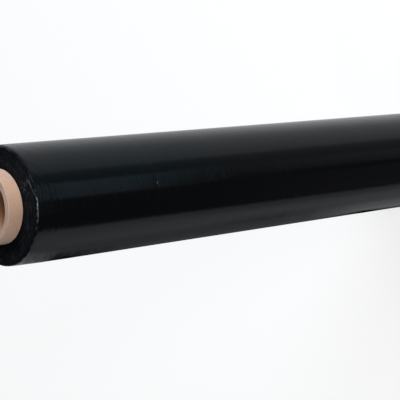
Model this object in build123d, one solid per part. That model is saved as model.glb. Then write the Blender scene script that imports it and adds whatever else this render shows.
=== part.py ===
from build123d import *
import os

# Stretch wrap roll, in millimetres. It stands on its lower core end, with its axis along +Z.
# The origin is the centre of that end.

# Cardboard core: a tube that the film is wound on and that stands out at both ends
core_bore_diameter = 50.0
core_wall = 4.0
core_overhang = 13.0
core_edge_chamfer = 0.5

# Wound film: all its turns together are one solid
film_width = 500.0
film_build = 18.0
film_edge_round = 2.0

# Free end of the film: it lies flat on the turn below it, at the back of the roll
tail_step = 0.3
tail_direction = 125.0

# Turns as they show on the two end faces: one groove that winds outwards
turn_pitch = 2.0
turn_groove_width = 0.6
turn_groove_depth = 0.5
turn_margin = 1.0

core_bore_radius = core_bore_diameter / 2
core_radius = core_bore_radius + core_wall
core_length = film_width + 2 * core_overhang
film_radius = core_radius + film_build
film_bottom = core_overhang
film_top = film_bottom + film_width

first_turn_radius = core_radius + turn_margin
last_turn_radius = film_radius - film_edge_round - turn_margin - turn_groove_width
turn_count = max(1, int((last_turn_radius - first_turn_radius) / turn_pitch))

upwards = (Align.CENTER, Align.CENTER, Align.MIN)


# The tube is cut square, so only its outer edges are eased
def make_core_tube():
    tube = Cylinder(core_radius, core_length, align=upwards)
    tube = chamfer(tube.edges().filter_by(GeomType.CIRCLE), core_edge_chamfer)
    return tube - Cylinder(core_bore_radius, core_length, align=upwards)


# Half a turn of the roll about its own centre line, with rounded rims at both ends
def make_half_roll(centre_x, radius, start_angle):
    section = Plane.XZ * Pos(radius / 2, film_bottom + film_width / 2) * Rectangle(radius, film_width)
    rim_corners = section.vertices().sort_by(Axis.X)[-2:]
    section = fillet(rim_corners, film_edge_round)
    return Pos(centre_x, 0) * Rot(0, 0, start_angle) * revolve(section, Axis.Z, 180)


# One wall of the spiral groove, as half circles about two centres half a pitch apart
def groove_wall(start_radius):
    arcs = []
    for half in range(2 * turn_count):
        second_half = half % 2
        centre = (second_half * turn_pitch / 2, 0)
        arcs.append(CenterArc(centre, start_radius + half * turn_pitch / 2, 180 * second_half, 180))
    return arcs


# The groove between two such walls, closed by a short line at each end
def make_turn_groove(base_z):
    outline = groove_wall(first_turn_radius) + groove_wall(first_turn_radius + turn_groove_width)
    for radius in (first_turn_radius, first_turn_radius + turn_count * turn_pitch):
        outline.append(Line((radius, 0), (radius + turn_groove_width, 0)))
    return Pos(0, 0, base_z) * extrude(make_face(outline), turn_groove_depth)


# The last turn grows by the step at the tail: its second half is full size and its first half is
# smaller by half the step, so the two meet smoothly opposite the tail
def make_film_winding():
    full_half = make_half_roll(0, film_radius, 180)
    small_half = make_half_roll(-tail_step / 2, film_radius - tail_step / 2, 0)
    roll = full_half + small_half
    roll -= Cylinder(core_radius, core_length, align=upwards)
    roll -= make_turn_groove(film_bottom)
    roll -= make_turn_groove(film_top - turn_groove_depth)
    return Rot(0, 0, tail_direction) * roll


os.makedirs("parts", exist_ok=True)
export_step(make_core_tube(), "parts/core_tube.step")
export_step(make_film_winding(), "parts/film_winding.step")
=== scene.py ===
import bpy
import math
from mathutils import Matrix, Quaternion, Vector, noise


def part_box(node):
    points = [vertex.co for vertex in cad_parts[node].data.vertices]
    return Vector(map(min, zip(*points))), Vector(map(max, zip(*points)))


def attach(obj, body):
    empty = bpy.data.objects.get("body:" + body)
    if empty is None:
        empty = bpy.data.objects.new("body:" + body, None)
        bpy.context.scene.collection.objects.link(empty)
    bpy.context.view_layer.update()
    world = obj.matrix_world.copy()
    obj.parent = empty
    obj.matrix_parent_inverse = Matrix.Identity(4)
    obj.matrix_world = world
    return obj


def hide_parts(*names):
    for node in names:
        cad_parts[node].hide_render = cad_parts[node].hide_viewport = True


# A roll of black stretch film on its cardboard core, standing on the core's lower end.
# The camera is turned on its side, so the roll lies across the picture.

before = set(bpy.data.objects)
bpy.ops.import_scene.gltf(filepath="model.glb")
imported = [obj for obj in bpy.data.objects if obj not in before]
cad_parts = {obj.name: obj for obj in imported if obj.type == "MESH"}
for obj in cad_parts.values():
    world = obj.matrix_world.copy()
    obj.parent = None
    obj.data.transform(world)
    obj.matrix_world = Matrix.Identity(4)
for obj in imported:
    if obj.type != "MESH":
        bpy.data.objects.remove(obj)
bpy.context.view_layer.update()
print("frame loaded:", sorted(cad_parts))

mm = 0.001
filmLow = round(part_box("film_winding")[0].z, 4)   # where the film starts and ends along the core
filmHigh = round(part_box("film_winding")[1].z, 4)
coreHigh = round(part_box("core_tube")[1].z, 4)


def smooth(low, high, value):
    share = min(1.0, max(0.0, (value - low) / (high - low)))
    return share * share * (3 - 2 * share)


# A quarter-round corner between two edges, as points of an outline
def roundCorner(centre, radius, startAngle, steps):
    points = []
    for step in range(steps + 1):
        angle = math.radians(startAngle + 90 * step / steps)
        points.append((centre[0] + radius * math.cos(angle), centre[1] + radius * math.sin(angle)))
    return points


# Evenly spaced values from the first to the last, both left out
def between(first, last, spacing):
    count = max(1, round(abs(last - first) / spacing))
    return [first + (last - first) * step / count for step in range(1, count)]


# Draws half a section of the roll point by point and spins it once round the axis
def spinOutline(name, outline, columns, startAngle):
    bpy.ops.object.select_all(action="DESELECT")
    bpy.ops.mesh.primitive_plane_add(size=0.01, location=(0, 0, 0))
    piece = bpy.context.object
    piece.name = name
    piece.data.name = name
    bpy.ops.object.mode_set(mode="EDIT")
    bpy.ops.mesh.select_mode(type="VERT")
    bpy.ops.mesh.select_all(action="SELECT")
    bpy.ops.mesh.merge(type="CENTER")
    turn = math.radians(startAngle)
    places = [Vector((r * math.cos(turn), r * math.sin(turn), z)) for r, z in outline]
    bpy.ops.transform.translate(value=places[0])
    for last, place in zip(places, places[1:] + places[:1]):
        bpy.ops.mesh.extrude_region_move(TRANSFORM_OT_translate={"value": place - last})
    bpy.ops.mesh.select_all(action="SELECT")
    bpy.ops.mesh.remove_doubles(threshold=0.002 * mm)
    bpy.ops.mesh.spin(steps=columns, angle=2 * math.pi, center=(0, 0, 0), axis=(0, 0, 1))
    bpy.ops.mesh.select_all(action="SELECT")
    bpy.ops.mesh.remove_doubles(threshold=0.002 * mm)
    bpy.ops.mesh.normals_make_consistent(inside=False)
    bpy.ops.object.mode_set(mode="OBJECT")
    return piece


# Smooth shading that keeps edges sharper than the angle
def shadeSmooth(piece, angle):
    bpy.ops.object.select_all(action="DESELECT")
    piece.select_set(True)
    bpy.context.view_layer.objects.active = piece
    bpy.ops.object.shade_smooth_by_angle(angle=math.radians(angle))


def newMaterial(name):
    material = bpy.data.materials.new(name)
    material.use_nodes = True
    tree = material.node_tree
    return material, tree, tree.nodes["Principled BSDF"]


def addNode(tree, kind, inputs=None, **settings):
    node = tree.nodes.new(kind)
    for setting, value in settings.items():
        setattr(node, setting, value)
    for socket, value in (inputs or {}).items():
        feed(tree, node.inputs[socket], value)
    return node


# A socket takes a fixed value or another node's output
def feed(tree, socket, value):
    if isinstance(value, bpy.types.NodeSocket):
        tree.links.new(value, socket)
    else:
        socket.default_value = value


def calc(tree, operation, first, second=0.0):
    node = addNode(tree, "ShaderNodeMath", {0: first, 1: second}, operation=operation)
    return node.outputs[0]


def rampUp(tree, value, low, high, toLow=0.0, toHigh=1.0):
    node = addNode(tree, "ShaderNodeMapRange", interpolation_type="SMOOTHSTEP")
    for socket, given in zip(node.inputs, (value, low, high, toLow, toHigh)):
        feed(tree, socket, given)
    return node.outputs[0]


# 1 between the two values and 0 outside them, with soft edges
def window(tree, value, low, high, soft):
    rise = rampUp(tree, value, low - soft, low + soft)
    fall = rampUp(tree, value, high - soft, high + soft, 1.0, 0.0)
    return calc(tree, "MULTIPLY", rise, fall)


# Noise stretched along the axes: a bigger scale is a finer pattern
def grain(tree, coordinates, scale, detail=3.0, roughness=0.5):
    mapping = addNode(tree, "ShaderNodeMapping", {"Vector": coordinates, "Scale": scale})
    texture = addNode(tree, "ShaderNodeTexNoise", {"Vector": mapping.outputs[0], "Scale": 1.0,
                                                   "Detail": detail, "Roughness": roughness})
    return texture.outputs["Fac"]


def addBump(tree, height, distance, normal=None, strength=1.0):
    node = addNode(tree, "ShaderNodeBump", {"Strength": strength, "Distance": distance, "Height": height})
    if normal is not None:
        feed(tree, node.inputs["Normal"], normal)
    return node.outputs[0]


def mixColour(tree, share, first, second):
    node = addNode(tree, "ShaderNodeMix", data_type="RGBA")
    feed(tree, node.inputs[0], share)
    feed(tree, node.inputs[6], first)
    feed(tree, node.inputs[7], second)
    return node.outputs[2]


# Object coordinates, and with them the distance from the axis and the angle round it
def aroundAxis(tree):
    coordinates = addNode(tree, "ShaderNodeTexCoord").outputs["Object"]
    parts = addNode(tree, "ShaderNodeSeparateXYZ", {0: coordinates})
    across = calc(tree, "MULTIPLY", parts.outputs["X"], parts.outputs["X"])
    along = calc(tree, "MULTIPLY", parts.outputs["Y"], parts.outputs["Y"])
    radius = calc(tree, "SQRT", calc(tree, "ADD", across, along))
    angle = calc(tree, "ARCTAN2", parts.outputs["Y"], parts.outputs["X"])
    return coordinates, radius, angle, parts.outputs["Z"]


film = {
    "radius": 47 * mm,
    "coreRadius": 29 * mm,
    "rimRound": 2 * mm,
    "rimSteps": 8,
    "columns": 256,
    "ringSpacing": 0.25 * mm,       # rings of the end faces, fine enough for the turns
    "rowSpacing": 8 * mm,           # rows along the side
    "tailAngle": 125.0,             # free end of the film, from +X towards +Y, at the back
    "tailStep": 0.3 * mm,
    "tailWander": 0.5,              # degrees that the free end strays to either side
    "tailReach": 6,                 # degrees within which the columns beside it stray too
    "tailDraw": 0.58,               # degrees by which the nearest columns are drawn up to the step
    "tailDrawFade": 2.0,
    "turnPitch": 2 * mm,
    "firstTurn": 30.3 * mm,         # middle of the groove where it starts, at the free end's angle
    "turnCount": 6,
    "grooveReach": 0.6 * mm,        # half the groove's width at the face
    "grooveDepth": 0.3 * mm,
    "ridgeHeight": 0.12 * mm,       # uneven edges of the turns
    "ridgeFine": (0.9 * mm, 70),    # a ridge's reach across the turns and, in degrees, along them
    "ridgeBroad": (3.5 * mm, 110),
    "ridgeStart": 30 * mm,
    "ridgeFade": (45 * mm, 44 * mm),
    "sideBlend": (40 * mm, 45 * mm),    # from the end faces to what belongs to the side
    "edgeUneven": 0.16 * mm,        # the rim wavers by this much
    "edgeReach": 4 * mm,
    "edgeBlend": (43 * mm, 46 * mm),
    "creaseHeight": 392.2 * mm,     # faint crease round the side
    "creaseDepth": 0.05 * mm,
    "creaseReach": 0.45 * mm,
    "creaseRows": (-1.0, -0.5, -0.25, 0, 0.25, 0.5, 1.0),   # extra rows, in mm from the crease
    "lipReach": 7 * mm,             # the side draws in a little towards the rims
    "lipDepth": 0.12 * mm,
    "lipRows": (3, 4.2, 5.6, 7),    # mm from each end face
    "gaugeBands": 0.05 * mm,        # slow change of the radius along the roll
    "slackStart": 481 * mm,         # from here to the top end one side is wound a little slacker
    "slackEase": 3 * mm,
    "slackSlope": 0.020,
    "slackSide": ((-20, -62), (-170, -135)),    # it sets in and fades out here, in degrees from -Y to +X
    "slackRows": (0.5, 2, 4, 6, 9, 13, 17, 21),     # mm past its start
    "plasticIndex": 1.5,            # index of refraction
    "side": {
        "dark": (0.0008, 0.0010, 0.0013, 1),
        "light": (0.0015, 0.0018, 0.0023, 1),
        "roughness": (0.09, 0.14),
        "waves": (38, 38, 16),      # patterns of the marks in the drawn film, and their depths
        "waveDepth": 0.1 * mm,
        "lanes": (22, 22, 520),
        "laneDepth": 0.036 * mm,
        "wrinkles": (75, 75, 420),
        "wrinkleDepth": 0.035 * mm,
        "ruffles": (120, 120, 460),
        "ruffleDepth": 0.42 * mm,
        "ruffleReach": (8 * mm, 34 * mm),   # they fade out between these distances from the ends
    },
    "turnEdges": {                  # on the rims and the end faces alike
        "ridges": (4200, 4200, 1),
        "patches": (170, 170, 170),
        "crinkles": (430, 430, 430),
        "crinkleFrom": (39 * mm, 44 * mm),
        "crinkleCalm": (45.3 * mm, 46.4 * mm),
    },
    "rim": {
        "reach": 1.1 * mm,          # this finish covers the outer edge of the end face
        "waver": 1.0 * mm,
        "sideReach": 1.7 * mm,      # and the start of the side
        "dark": (0.0022, 0.0026, 0.0032, 1),
        "specks": (520, 520, 520),
        "speckRange": (0.35, 0.65),
        "roughness": (0.2, 0.36),
        "specular": 0.5,
        "tint": (0.85, 0.95, 1.0, 1),
        "ridgeDepth": 0.02 * mm,
        "crinkleDepth": 1.3 * mm,
    },
    "endFace": {
        "dark": (0.0024, 0.0032, 0.0044, 1),
        "blotches": (0.0036, 0.0040, 0.0048, 1),
        "specks": (1100, 1100, 1100),
        "speckRange": (0.3, 0.7),
        "roughness": (0.35, 0.5),
        "specular": 0.04,
        "tint": (0.5, 0.8, 1.0, 1),
        "ridgeDepth": 0.24 * mm,
        "crinkleDepth": 1.1 * mm,
    },
    "marks": {                      # painted glints; sides are in radians from +X towards +Y
        "creaseGlintSide": (-1.502, -1.448),
        "creaseGlintReach": 0.5 * mm,      # the painted glint lies on the crease
        "creaseGlintTone": (0.048, 0.052, 0.056, 1),
        # Painted highlight: pale specks on the turns' edges stand in for glints
        "edgeGlintSide": (-1.36, -1.14),
        "edgeGlintFaint": 0.2,          # share of the painted glints elsewhere
        "edgeGlintRadius": (32 * mm, 43 * mm),
        "edgeGlintSpecks": (820, 820, 820),
        "edgeGlintBlotches": (150, 150, 150),
        "edgeGlintTone": (0.078, 0.086, 0.094, 1),
        "glintLine": (-1.56, -1.12),     # here a painted highlight line along a turn's edge comes in from the rim
        "glintLineRadius": (46.3 * mm, 46.9 * mm),
        "glintLineDrop": 3.2 * mm,
        "glintLineRun": 0.28,
        "glintLineBreaks": (420, 420, 420),
    },
}
halfColumn = 180 / film["columns"]


# The last turn is thinner just past its free end and grows to full size half way round
def outerRadius(turned):
    if turned < 180:
        return film["radius"] - film["tailStep"] / 2 * (1 + math.cos(math.radians(turned)))
    return film["radius"]


# How far below the face a point of an end face lies, from its radius and its angle past the tail
def turnRelief(radius, turned, seed):
    wound = radius - film["turnPitch"] * turned / 360
    turns = (wound - film["firstTurn"]) / film["turnPitch"]
    nearest = min(film["turnCount"] - 1, max(0, round(turns)))
    away = abs(turns - nearest) * film["turnPitch"]
    depth = 0.0
    if away < film["grooveReach"]:
        depth = film["grooveDepth"] * (1 + math.cos(math.pi * away / film["grooveReach"])) / 2
    across, along = film["ridgeFine"]
    fine = noise.noise(Vector((wound / across, turned / along, seed)))
    across, along = film["ridgeBroad"]
    broad = noise.noise(Vector((wound / across, turned / along, seed + 7)))
    inside = smooth(film["coreRadius"], film["ridgeStart"], radius) * smooth(*film["ridgeFade"], radius)
    return depth + film["ridgeHeight"] * (1 + 0.6 * fine + 0.9 * broad) * inside


# Columns beside the tail are drawn up to it, so that the step is steep
def besideTail(turned):
    signed = turned if turned < 180 else turned - 360
    drawn = abs(signed) - film["tailDraw"] * math.exp(-(abs(signed) - halfColumn) / film["tailDrawFade"])
    return math.copysign(drawn, signed) % 360


# Lays one point of the spun shape where the wound film has it
def layFilmPoint(point):
    radius = math.hypot(point.x, point.y)
    turned = (math.degrees(math.atan2(point.y, point.x)) - film["tailAngle"]) % 360
    outward = smooth(*film["sideBlend"], radius)
    placed = besideTail(turned) if outward > 0 else turned
    nearTail = math.exp(-min(turned, 360 - turned) / film["tailReach"])
    wander = film["tailWander"] * noise.noise(Vector((0, 3, point.z * 9))) * nearTail * outward
    height = point.z
    inwards = 1 if height < coreHigh / 2 else -1    # up from the lower end, down from the upper one
    direction = math.radians(placed + wander + film["tailAngle"])
    flat = Vector((math.cos(direction), math.sin(direction), 0))
    toEnd = min(point.z - filmLow, filmHigh - point.z)
    edge = smooth(film["edgeReach"], 0, toEnd) * smooth(*film["edgeBlend"], radius)
    waver = noise.noise(flat * 9 + Vector((0, 0, 50 * point.z))) + 0.5 * noise.noise(flat * 26)
    slow = noise.noise(Vector((flat.x * 0.6, flat.y * 0.6, point.z * 26)))
    bands = film["gaugeBands"] * (0.5 + 0.5 * slow)
    crease = math.exp(-((point.z - film["creaseHeight"]) / film["creaseReach"]) ** 2)
    facing = math.degrees(math.atan2(flat.x, -flat.y))
    beyond = max(0.0, point.z - film["slackStart"])
    slack = film["slackSlope"] * beyond * beyond / (beyond + film["slackEase"])
    slack *= smooth(*film["slackSide"][0], facing) * smooth(*film["slackSide"][1], facing)
    shrink = (film["radius"] - outerRadius(turned)) * outward
    lip = film["lipDepth"] * max(0.0, 1 - toEnd / film["lipReach"]) ** 2
    shrink += (bands + film["creaseDepth"] * crease + slack + lip) * outward
    shrink += film["edgeUneven"] * edge * 0.5 * (0.7 + waver)
    if toEnd < 0.01 * mm and radius > film["coreRadius"] + 0.01 * mm:
        seed = 0.0 if inwards > 0 else 20.0         # the two ends differ
        height += inwards * turnRelief(radius, turned, seed)
    else:
        height += inwards * film["edgeUneven"] * edge * 0.4 * (1 + waver)
    return flat * (radius - shrink) + Vector((0, 0, height))


def buildFilm():
    inner = film["coreRadius"]
    outer = film["radius"]
    rim = film["rimRound"]
    rings = between(inner, outer - rim, film["ringSpacing"])
    rows = between(filmLow + rim, filmHigh - rim, film["rowSpacing"])
    rows += [film["creaseHeight"] + offset * mm for offset in film["creaseRows"]]
    rows += [film["slackStart"] + offset * mm for offset in film["slackRows"]]
    rows += [filmLow + offset * mm for offset in film["lipRows"]]
    rows += [filmHigh - offset * mm for offset in film["lipRows"]]
    outline = [(inner, filmLow)] + [(ring, filmLow) for ring in rings]
    outline += roundCorner((outer - rim, filmLow + rim), rim, -90, film["rimSteps"])
    outline += [(outer, row) for row in sorted(rows)]
    outline += roundCorner((outer - rim, filmHigh - rim), rim, 0, film["rimSteps"])
    outline += [(ring, filmHigh) for ring in reversed(rings)] + [(inner, filmHigh)]
    piece = spinOutline("filmWinding", outline, film["columns"], film["tailAngle"] + halfColumn)
    for point in piece.data.vertices:
        point.co = layFilmPoint(point.co)
    shadeSmooth(piece, 50)
    return piece


# Side of the roll: near-black, glossy, drawn tight, with fine lanes round it and ruffles near the ends
def filmSideMaterial():
    finish = film["side"]
    marks = film["marks"]
    material, tree, shader = newMaterial("blackFilmSide")
    coordinates, _, angle, height = aroundAxis(tree)
    lanes = grain(tree, coordinates, finish["lanes"], detail=4.0)
    waves = grain(tree, coordinates, finish["waves"], detail=2.0)
    ruffles = grain(tree, coordinates, finish["ruffles"], detail=2.0)
    zones = grain(tree, coordinates, (5, 5, 26), detail=1.0)
    near, far = finish["ruffleReach"]
    toTop = rampUp(tree, height, filmHigh - far, filmHigh - near)
    toBottom = rampUp(tree, height, filmLow + near, filmLow + far, 1.0, 0.0)
    ends = calc(tree, "MAXIMUM", toTop, toBottom)
    ruffled = calc(tree, "MAXIMUM", ends, rampUp(tree, zones, 0.46, 0.66, 0.02, 0.24))
    wrinkles = rampUp(tree, grain(tree, coordinates, finish["wrinkles"], detail=1.0), 0.66, 0.76)
    normal = addBump(tree, waves, finish["waveDepth"])
    normal = addBump(tree, lanes, finish["laneDepth"], normal)
    normal = addBump(tree, wrinkles, -finish["wrinkleDepth"], normal)
    normal = addBump(tree, calc(tree, "MULTIPLY", ruffles, ruffled), finish["ruffleDepth"], normal)
    tone = grain(tree, coordinates, (9, 9, 60), detail=3.0)
    dark = mixColour(tree, tone, finish["dark"], finish["light"])
    # Painted highlight: a pale spot on the crease stands in for a glint there
    creaseGlintLow = film["creaseHeight"] - marks["creaseGlintReach"]
    creaseGlintHigh = film["creaseHeight"] + marks["creaseGlintReach"]
    creaseGlint = calc(tree, "MULTIPLY", window(tree, height, creaseGlintLow, creaseGlintHigh, 0.3 * mm),
                window(tree, angle, *marks["creaseGlintSide"], 0.016))
    feed(tree, shader.inputs["Base Color"], mixColour(tree, creaseGlint, dark, marks["creaseGlintTone"]))
    feed(tree, shader.inputs["Roughness"], rampUp(tree, lanes, 0.3, 0.7, *finish["roughness"]))
    shader.inputs["IOR"].default_value = film["plasticIndex"]
    feed(tree, shader.inputs["Normal"], normal)
    return material


# Edges of the many turns: fine ridges that follow the winding, and crinkles that grow towards the rim
def turnEdges(tree, coordinates, radius, angle, finish):
    wound = calc(tree, "SUBTRACT", radius, calc(tree, "MULTIPLY", angle, film["turnPitch"] / (2 * math.pi)))
    place = addNode(tree, "ShaderNodeCombineXYZ", {0: wound, 1: calc(tree, "MULTIPLY", angle, 0.0012)})
    edges = film["turnEdges"]
    fine = grain(tree, place.outputs[0], edges["ridges"], detail=2.0)
    crinkle = grain(tree, coordinates, edges["crinkles"], detail=3.0, roughness=0.6)
    outwards = rampUp(tree, radius, *edges["crinkleFrom"], 0.1, 1.0)
    calmer = rampUp(tree, radius, *edges["crinkleCalm"], 1.0, 0.2)
    patchy = rampUp(tree, grain(tree, coordinates, edges["patches"], detail=2.0), 0.4, 0.6, 0.35, 1.0)
    share = calc(tree, "MULTIPLY", outwards, calmer)
    normal = addBump(tree, calc(tree, "MULTIPLY", fine, patchy), finish["ridgeDepth"])
    return addBump(tree, calc(tree, "MULTIPLY", crinkle, share), finish["crinkleDepth"], normal)


# Painted glints: pale specks on the turns' edges, mostly at one side and faint all round, and a painted
# highlight line along one turn's edge there
def paintEdgeGlints(tree, coordinates, radius, angle):
    marks = film["marks"]
    specks = rampUp(tree, grain(tree, coordinates, marks["edgeGlintSpecks"], detail=2.0), 0.5, 0.62, 0.0, 0.7)
    blotches = rampUp(tree, grain(tree, coordinates, marks["edgeGlintBlotches"], detail=2.0), 0.42, 0.56)
    inside = window(tree, radius, *marks["edgeGlintRadius"], 1.5 * mm)
    side = calc(tree, "MAXIMUM", window(tree, angle, *marks["edgeGlintSide"], 0.07), marks["edgeGlintFaint"])
    where = calc(tree, "MULTIPLY", inside, side)
    edgeGlints = calc(tree, "MULTIPLY", calc(tree, "MULTIPLY", specks, blotches), where)
    # Painted highlight: a broken pale line along one turn's edge near the rim
    lineStart, lineEnd = marks["glintLine"]
    comesIn = rampUp(tree, angle, lineStart, lineStart + marks["glintLineRun"], 0.0, marks["glintLineDrop"])
    place = calc(tree, "ADD", radius, comesIn)
    line = calc(tree, "MULTIPLY", window(tree, place, *marks["glintLineRadius"], 0.25 * mm),
                window(tree, angle, lineStart, lineEnd, 0.04))
    breaks = grain(tree, coordinates, marks["glintLineBreaks"], detail=2.0)
    broken = rampUp(tree, breaks, 0.42, 0.58, 0.2, 1.0)
    return calc(tree, "MAXIMUM", edgeGlints, calc(tree, "MULTIPLY", line, broken))


# Rims and end faces: duller than the side, with the turns' edges and their painted glints
def turnEdgeMaterial(name, finish):
    material, tree, shader = newMaterial(name)
    coordinates, radius, angle = aroundAxis(tree)[:3]
    specks = grain(tree, coordinates, finish["specks"], detail=2.0)
    dark = finish["dark"]
    if "blotches" in finish:
        blotch = rampUp(tree, grain(tree, coordinates, (70, 70, 70), detail=3.0), 0.4, 0.65)
        dark = mixColour(tree, blotch, dark, finish["blotches"])
    # The painted glints and the painted highlight line go into the base colour
    pale = paintEdgeGlints(tree, coordinates, radius, angle)
    feed(tree, shader.inputs["Base Color"], mixColour(tree, pale, dark, film["marks"]["edgeGlintTone"]))
    roughness = rampUp(tree, specks, *finish["speckRange"], *finish["roughness"])
    feed(tree, shader.inputs["Roughness"], roughness)
    shader.inputs["IOR"].default_value = film["plasticIndex"]
    shader.inputs["Specular IOR Level"].default_value = finish["specular"]
    shader.inputs["Specular Tint"].default_value = finish["tint"]
    feed(tree, shader.inputs["Normal"], turnEdges(tree, coordinates, radius, angle, finish))
    return material


filmPiece = buildFilm()
filmPiece.data.materials.append(filmSideMaterial())
filmPiece.data.materials.append(turnEdgeMaterial("blackFilmRim", film["rim"]))
filmPiece.data.materials.append(turnEdgeMaterial("blackFilmEdges", film["endFace"]))
for face in filmPiece.data.polygons:
    toEnd = min(face.center.z - filmLow, filmHigh - face.center.z)
    rimReach = film["rim"]["reach"] + film["rim"]["waver"] * noise.noise(face.center * 260)
    if toEnd > film["rim"]["sideReach"]:
        face.material_index = 0
    elif math.hypot(face.center.x, face.center.y) > film["radius"] - rimReach:
        face.material_index = 1
    else:
        face.material_index = 2
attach(filmPiece, "root")
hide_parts("film_winding")
print("film wound:", len(filmPiece.data.vertices), "points")


core = {
    "radius": 29 * mm,
    "boreRadius": 25 * mm,
    "boreReach": 27 * mm,           # what lies nearer the axis than this is bore
    "edgeEase": 0.3 * mm,
    "columns": 192,
    "ringSpacing": 0.4 * mm,
    "rowSpacing": 12 * mm,
    "edgeRow": 0.9 * mm,            # first row from each end, which keeps the shading even
    "burr": 0.4 * mm,               # the saw left the bore's edge turned in by this much
    "burrDepth": 0.6 * mm,
    "plyPitch": 0.66 * mm,          # paper plies as they show on the cut ends
    "seamLead": 150 * mm,           # the outer ply's seam climbs this much in one turn
    "seamOffset": 30 * mm,
    "seamSide": (0.15 * mm, 0.5 * mm),
    "fibres": (900, 900, 260),
    "blotches": (60, 60, 30),
    "relief": 0.06 * mm,
    "boardIndex": 1.5,              # index of refraction
    "sheenRoughness": 0.6,
    "outside": {
        "light": (0.61, 0.38, 0.258, 1),
        "dark": (0.52, 0.307, 0.198, 1),
        "toneRange": (0.35, 0.8),
        "roughness": 0.55,
        "sheen": 0.35,
    },
    "cutEnd": {
        "light": (0.37, 0.262, 0.204, 1),
        "dark": (0.28, 0.188, 0.138, 1),
        "toneRange": (0.45, 1.0),
        "roughness": 0.85,
        "sheen": 0.0,
    },
    "bore": {
        "light": (0.48, 0.30, 0.18, 1),
        "dark": (0.40, 0.235, 0.13, 1),
        "toneRange": (0.35, 0.8),
        "roughness": 0.8,
        "sheen": 0.0,
        "deep": (0.24, 0.08, 0.016, 1),     # painted shade: darker and redder further into the bore
        "deepFrom": (23.5 * mm, 38 * mm),
    },
}


def buildCore():
    outer = core["radius"]
    inner = core["boreRadius"]
    mouth = inner - core["burr"]
    ease = core["edgeEase"]
    corner = 0.3 * ease             # distance of the eased edge's middle from each face
    rings = between(inner, outer - ease, core["ringSpacing"])
    rows = [core["edgeRow"]] + between(0, coreHigh, core["rowSpacing"]) + [coreHigh - core["edgeRow"]]
    outline = [(mouth, 0)] + [(ring, 0) for ring in rings]
    outline += [(outer - ease, 0), (outer - corner, corner), (outer, ease)]
    outline += [(outer, row) for row in rows]
    outline += [(outer, coreHigh - ease), (outer - corner, coreHigh - corner), (outer - ease, coreHigh)]
    outline += [(ring, coreHigh) for ring in reversed(rings)]
    outline += [(mouth, coreHigh), (inner, coreHigh - core["burrDepth"])]
    outline += [(inner, row) for row in reversed(rows)] + [(inner, core["burrDepth"])]
    piece = spinOutline("coreTube", outline, core["columns"], 0)
    shadeSmooth(piece, 40)
    return piece


# Wound paperboard: short fibres, slow blotches, and either the plies' cut edges or the ply seam
def boardMaterial(name, part):
    finish = core[part]
    material, tree, shader = newMaterial(name)
    coordinates, radius, angle, height = aroundAxis(tree)
    fibres = grain(tree, coordinates, core["fibres"], detail=3.0, roughness=0.6)
    blotches = grain(tree, coordinates, core["blotches"], detail=3.0)
    tone = calc(tree, "ADD", calc(tree, "MULTIPLY", fibres, 0.5), calc(tree, "MULTIPLY", blotches, 0.6))
    if part == "cutEnd":
        plies = calc(tree, "MULTIPLY", radius, 2 * math.pi / core["plyPitch"])
        line = calc(tree, "ADD", calc(tree, "MULTIPLY", calc(tree, "SINE", plies), 0.5), 0.5)
        tone = calc(tree, "ADD", tone, calc(tree, "MULTIPLY", line, 0.3))
        relief = calc(tree, "ADD", fibres, calc(tree, "MULTIPLY", line, 0.8))
    else:
        climb = calc(tree, "MULTIPLY", angle, core["seamLead"] / (2 * math.pi))
        place = calc(tree, "ADD", calc(tree, "SUBTRACT", height, climb), core["seamOffset"])
        away = calc(tree, "PINGPONG", place, core["seamLead"] / 2)
        seam = rampUp(tree, away, *core["seamSide"], 1.0, 0.0)
        tone = calc(tree, "ADD", tone, calc(tree, "MULTIPLY", seam, 0.25))
        relief = calc(tree, "SUBTRACT", fibres, seam)
    colour = mixColour(tree, rampUp(tree, tone, *finish["toneRange"]), finish["light"], finish["dark"])
    # Painted shade: the bore darkens with distance from both ends
    if "deep" in finish:
        fromEnd = calc(tree, "MINIMUM", height, calc(tree, "SUBTRACT", coreHigh, height))
        colour = mixColour(tree, rampUp(tree, fromEnd, *finish["deepFrom"]), colour, finish["deep"])
    feed(tree, shader.inputs["Base Color"], colour)
    shader.inputs["Roughness"].default_value = finish["roughness"]
    shader.inputs["Sheen Weight"].default_value = finish["sheen"]
    shader.inputs["Sheen Roughness"].default_value = core["sheenRoughness"]
    shader.inputs["IOR"].default_value = core["boardIndex"]
    feed(tree, shader.inputs["Normal"], addBump(tree, relief, core["relief"]))
    return material


corePiece = buildCore()
corePiece.data.materials.append(boardMaterial("coreOutside", "outside"))
corePiece.data.materials.append(boardMaterial("coreCutEnd", "cutEnd"))
corePiece.data.materials.append(boardMaterial("coreBore", "bore"))
for face in corePiece.data.polygons:
    if abs(face.normal.z) > 0.5:
        face.material_index = 1
    elif math.hypot(face.center.x, face.center.y) < core["boreReach"]:
        face.material_index = 2
    else:
        face.material_index = 0
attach(corePiece, "root")
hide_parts("core_tube")
print("core made:", len(corePiece.data.vertices), "points")


view = {
    "place": (0.0, -0.85423, 1.1176),
    "aim": (-0.01437, 0.0, 0.30337),
    "roll": -97.272,                # degrees: the roll's top end is at the left of the picture
    "lens": 122.597,
}
bpy.ops.object.camera_add(location=view["place"])
camera = bpy.context.object
camera.name = "camera"
looking = (Vector(view["aim"]) - camera.location).to_track_quat("-Z", "Y")
camera.rotation_euler = (looking @ Quaternion((0, 0, 1), math.radians(view["roll"]))).to_euler()
camera.data.sensor_width = 36
camera.data.lens = view["lens"]
bpy.context.scene.camera = camera


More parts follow.
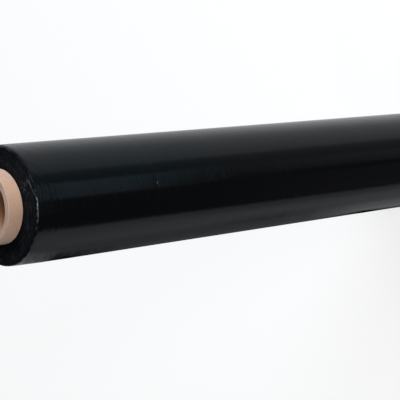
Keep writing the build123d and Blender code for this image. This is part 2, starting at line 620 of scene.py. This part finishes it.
studio = {
    "floorSize": 30,
    "floorColour": (0.20, 0.20, 0.20, 1),
    "floorOwnWhite": 0.80,          # what the camera sees in the floor besides the lamps' light
    "farWhite": 0.985,              # the same far away, where the lamps hardly reach
    "farFrom": (1.2, 6.5),
    "lampDistance": 3.0,
    "lampHeight": 0.3,              # height that the lamps point at
    "dimFrom": (-2.0, 32.0),        # the surround dims from one elevation to the other
    "dimShare": 0.12,
    "surroundTint": (0.97, 1.0, 1.05),
}

# Brightness of the soft surround by direction: 0 is towards the viewer, 90 towards +X
surround = {
    -180: 0.20, -172: 0.07, -150: 0.09, -125: 0.13, -110: 0.18, -93: 0.33, -75: 0.36, -61.5: 0.32,
    -56.5: 0.045, -8: 0.045, 6: 0.05, 18: 0.085, 30: 0.11, 44: 0.13, 52: 0.17, 57: 0.32, 75: 0.38,
    98: 0.42, 114: 0.48, 130: 0.57, 160: 0.55, 180: 0.50,
}
# Soft cards in front of it: direction, elevation, softness of both and brightness. One below 0 takes
# light away. A card is white where it has no tint
patches = [
    {"round": (1, 31), "up": (-42.3, 0), "soft": (3, 2), "level": 0.21, "tint": (0.72, 1.0, 1.25)},
    {"round": (-22, 6), "up": (-35.0, 0), "soft": (6, 0.5), "level": 0.07, "tint": (0.7, 1.0, 1.15)},
    {"round": (6, 30), "up": (-90, -46.9), "soft": (4, 1.5), "level": 0.05},
    {"round": (12, 104), "up": (-44.2, 10), "soft": (8, 3), "level": 0.04, "tint": (-1, 0, 0.3)},
    {"round": (110, 176), "up": (-90, -45.2), "soft": (8, 3), "level": 0.06},
    {"round": (-54, -6), "up": (-90, -46.6), "soft": (3, 2), "level": 0.025},
    {"round": (-74, -58), "up": (-90, -43.2), "soft": (4, 2), "level": -0.08},
    {"round": (-112, -90), "up": (-48.1, -44.8), "soft": (5, 1.2), "level": -0.08},
    {"round": (-146, -104), "up": (-90, -49.0), "soft": (7, 1.2), "level": 0.20},
    {"round": (-178, -139), "up": (-50.8, -50.05), "soft": (3, 0.2), "level": -0.17},
    {"round": (-178, -126), "up": (-39.9, 20), "soft": (5, 0.9), "level": -0.04},
    {"round": (-178, -122), "up": (-38.1, -37.0), "soft": (5, 0.4), "level": -0.06},
    {"round": (-172, -110), "up": (-36.15, 8), "soft": (16, 0.9), "level": 0.34},
]
# A lamp is mirrored in the gloss or stays out of it, and one that is not matt shows in the gloss alone
lamps = {
    "keyLamp": {"round": 77, "up": 46, "size": 2.2, "level": 1.03, "tint": (0.95, 1.0, 1.09)},
    "sideLamp": {"round": 39, "up": 42, "size": 0.8, "level": 0.06, "mirrored": True},
    "frontLamp": {"round": -13, "up": 42, "size": 0.7, "level": 0.40, "mirrored": True, "matt": False},
    "fillLamp": {"round": 9, "up": 35, "size": 1.3, "level": 0.48},
    "lowLamp": {"round": -66, "up": 11, "size": 1.6, "level": 0.165},
}


# Unit direction from its angle round the axis and its elevation, both in degrees
def towards(bearing, up):
    across = math.cos(math.radians(up))
    turn = math.radians(bearing)
    return Vector((math.sin(turn) * across, -math.cos(turn) * across, math.sin(math.radians(up))))


def makeFloor():
    bpy.ops.mesh.primitive_plane_add(size=studio["floorSize"], location=(0, 0, 0))
    floor = bpy.context.object
    floor.name = "floor"
    material, tree, shader = newMaterial("paleFloor")
    shader.inputs["Base Color"].default_value = studio["floorColour"]
    shader.inputs["Roughness"].default_value = 1.0
    shader.inputs["Specular IOR Level"].default_value = 0.0
    path = addNode(tree, "ShaderNodeLightPath")
    seen = calc(tree, "MAXIMUM", path.outputs["Is Camera Ray"], path.outputs["Is Transmission Ray"])
    away = aroundAxis(tree)[1]
    ownWhite = rampUp(tree, away, *studio["farFrom"], studio["floorOwnWhite"], studio["farWhite"])
    share = calc(tree, "MULTIPLY", seen, ownWhite)
    plain = addNode(tree, "ShaderNodeEmission", {"Color": (1, 1, 1, 1), "Strength": share})
    both = addNode(tree, "ShaderNodeAddShader", {0: shader.outputs[0], 1: plain.outputs[0]})
    feed(tree, tree.nodes["Material Output"].inputs["Surface"], both.outputs[0])
    floor.data.materials.append(material)
    floor.visible_glossy = False    # the film mirrors the soft surround, and not the white floor


def makeLamp(name, lamp):
    middle = Vector((0, 0, studio["lampHeight"]))
    place = middle + towards(lamp["round"], lamp["up"]) * studio["lampDistance"]
    bpy.ops.object.light_add(type="AREA", location=place)
    light = bpy.context.object
    light.name = name
    light.rotation_euler = (middle - place).to_track_quat("-Z", "Y").to_euler()
    light.data.shape = "DISK"
    light.data.size = lamp["size"]
    light.data.color = lamp.get("tint", (1, 1, 1))
    light.data.energy = lamp["level"] * (math.pi * studio["lampDistance"]) ** 2
    light.visible_glossy = lamp.get("mirrored", False)
    light.visible_diffuse = lamp.get("matt", True)
    light.visible_camera = False


def makeSurround():
    world = bpy.data.worlds.new("softSurround")
    bpy.context.scene.world = world
    world.use_nodes = True
    tree = world.node_tree
    tree.nodes.clear()
    direction = addNode(tree, "ShaderNodeTexCoord").outputs["Generated"]
    parts = addNode(tree, "ShaderNodeSeparateXYZ", {0: direction})
    back = calc(tree, "MULTIPLY", parts.outputs["Y"], -1.0)
    bearing = calc(tree, "MULTIPLY", calc(tree, "ARCTAN2", parts.outputs["X"], back), 180 / math.pi)
    up = calc(tree, "MULTIPLY", calc(tree, "ARCSINE", parts.outputs["Z"]), 180 / math.pi)
    ramp = addNode(tree, "ShaderNodeValToRGB")
    feed(tree, ramp.inputs[0], calc(tree, "ADD", calc(tree, "DIVIDE", bearing, 360.0), 0.5))
    stops = ramp.color_ramp.elements
    for angle, level in surround.items():
        place = angle / 360 + 0.5
        stop = stops[0] if angle == -180 else stops[-1] if angle == 180 else stops.new(place)
        stop.position = place
        stop.color = [level * tint for tint in studio["surroundTint"]] + [1]
    dim = rampUp(tree, up, *studio["dimFrom"], 1.0, studio["dimShare"])
    total = addNode(tree, "ShaderNodeVectorMath", {0: ramp.outputs[0]}, operation="SCALE")
    feed(tree, total.inputs["Scale"], dim)
    total = total.outputs[0]
    for patch in patches:
        level = calc(tree, "MULTIPLY", window(tree, bearing, *patch["round"], patch["soft"][0]),
                     window(tree, up, *patch["up"], patch["soft"][1]))
        level = calc(tree, "MULTIPLY", level, patch["level"])
        glow = addNode(tree, "ShaderNodeVectorMath", {0: patch.get("tint", (1, 1, 1))}, operation="SCALE")
        feed(tree, glow.inputs["Scale"], level)
        both = addNode(tree, "ShaderNodeVectorMath", {0: total, 1: glow.outputs[0]}, operation="ADD")
        total = both.outputs[0]
    soft = addNode(tree, "ShaderNodeBackground", {"Color": total, "Strength": 1.0})
    plain = addNode(tree, "ShaderNodeBackground", {"Color": (1, 1, 1, 1), "Strength": 1.0})
    path = addNode(tree, "ShaderNodeLightPath")
    seen = calc(tree, "MAXIMUM", path.outputs["Is Camera Ray"], path.outputs["Is Transmission Ray"])
    mix = addNode(tree, "ShaderNodeMixShader", {0: seen, 1: soft.outputs[0], 2: plain.outputs[0]})
    output = addNode(tree, "ShaderNodeOutputWorld")
    feed(tree, output.inputs["Surface"], mix.outputs[0])


makeFloor()
makeSurround()
for name, lamp in lamps.items():
    makeLamp(name, lamp)
bpy.context.scene.view_settings.view_transform = "Standard"
print("studio lit")
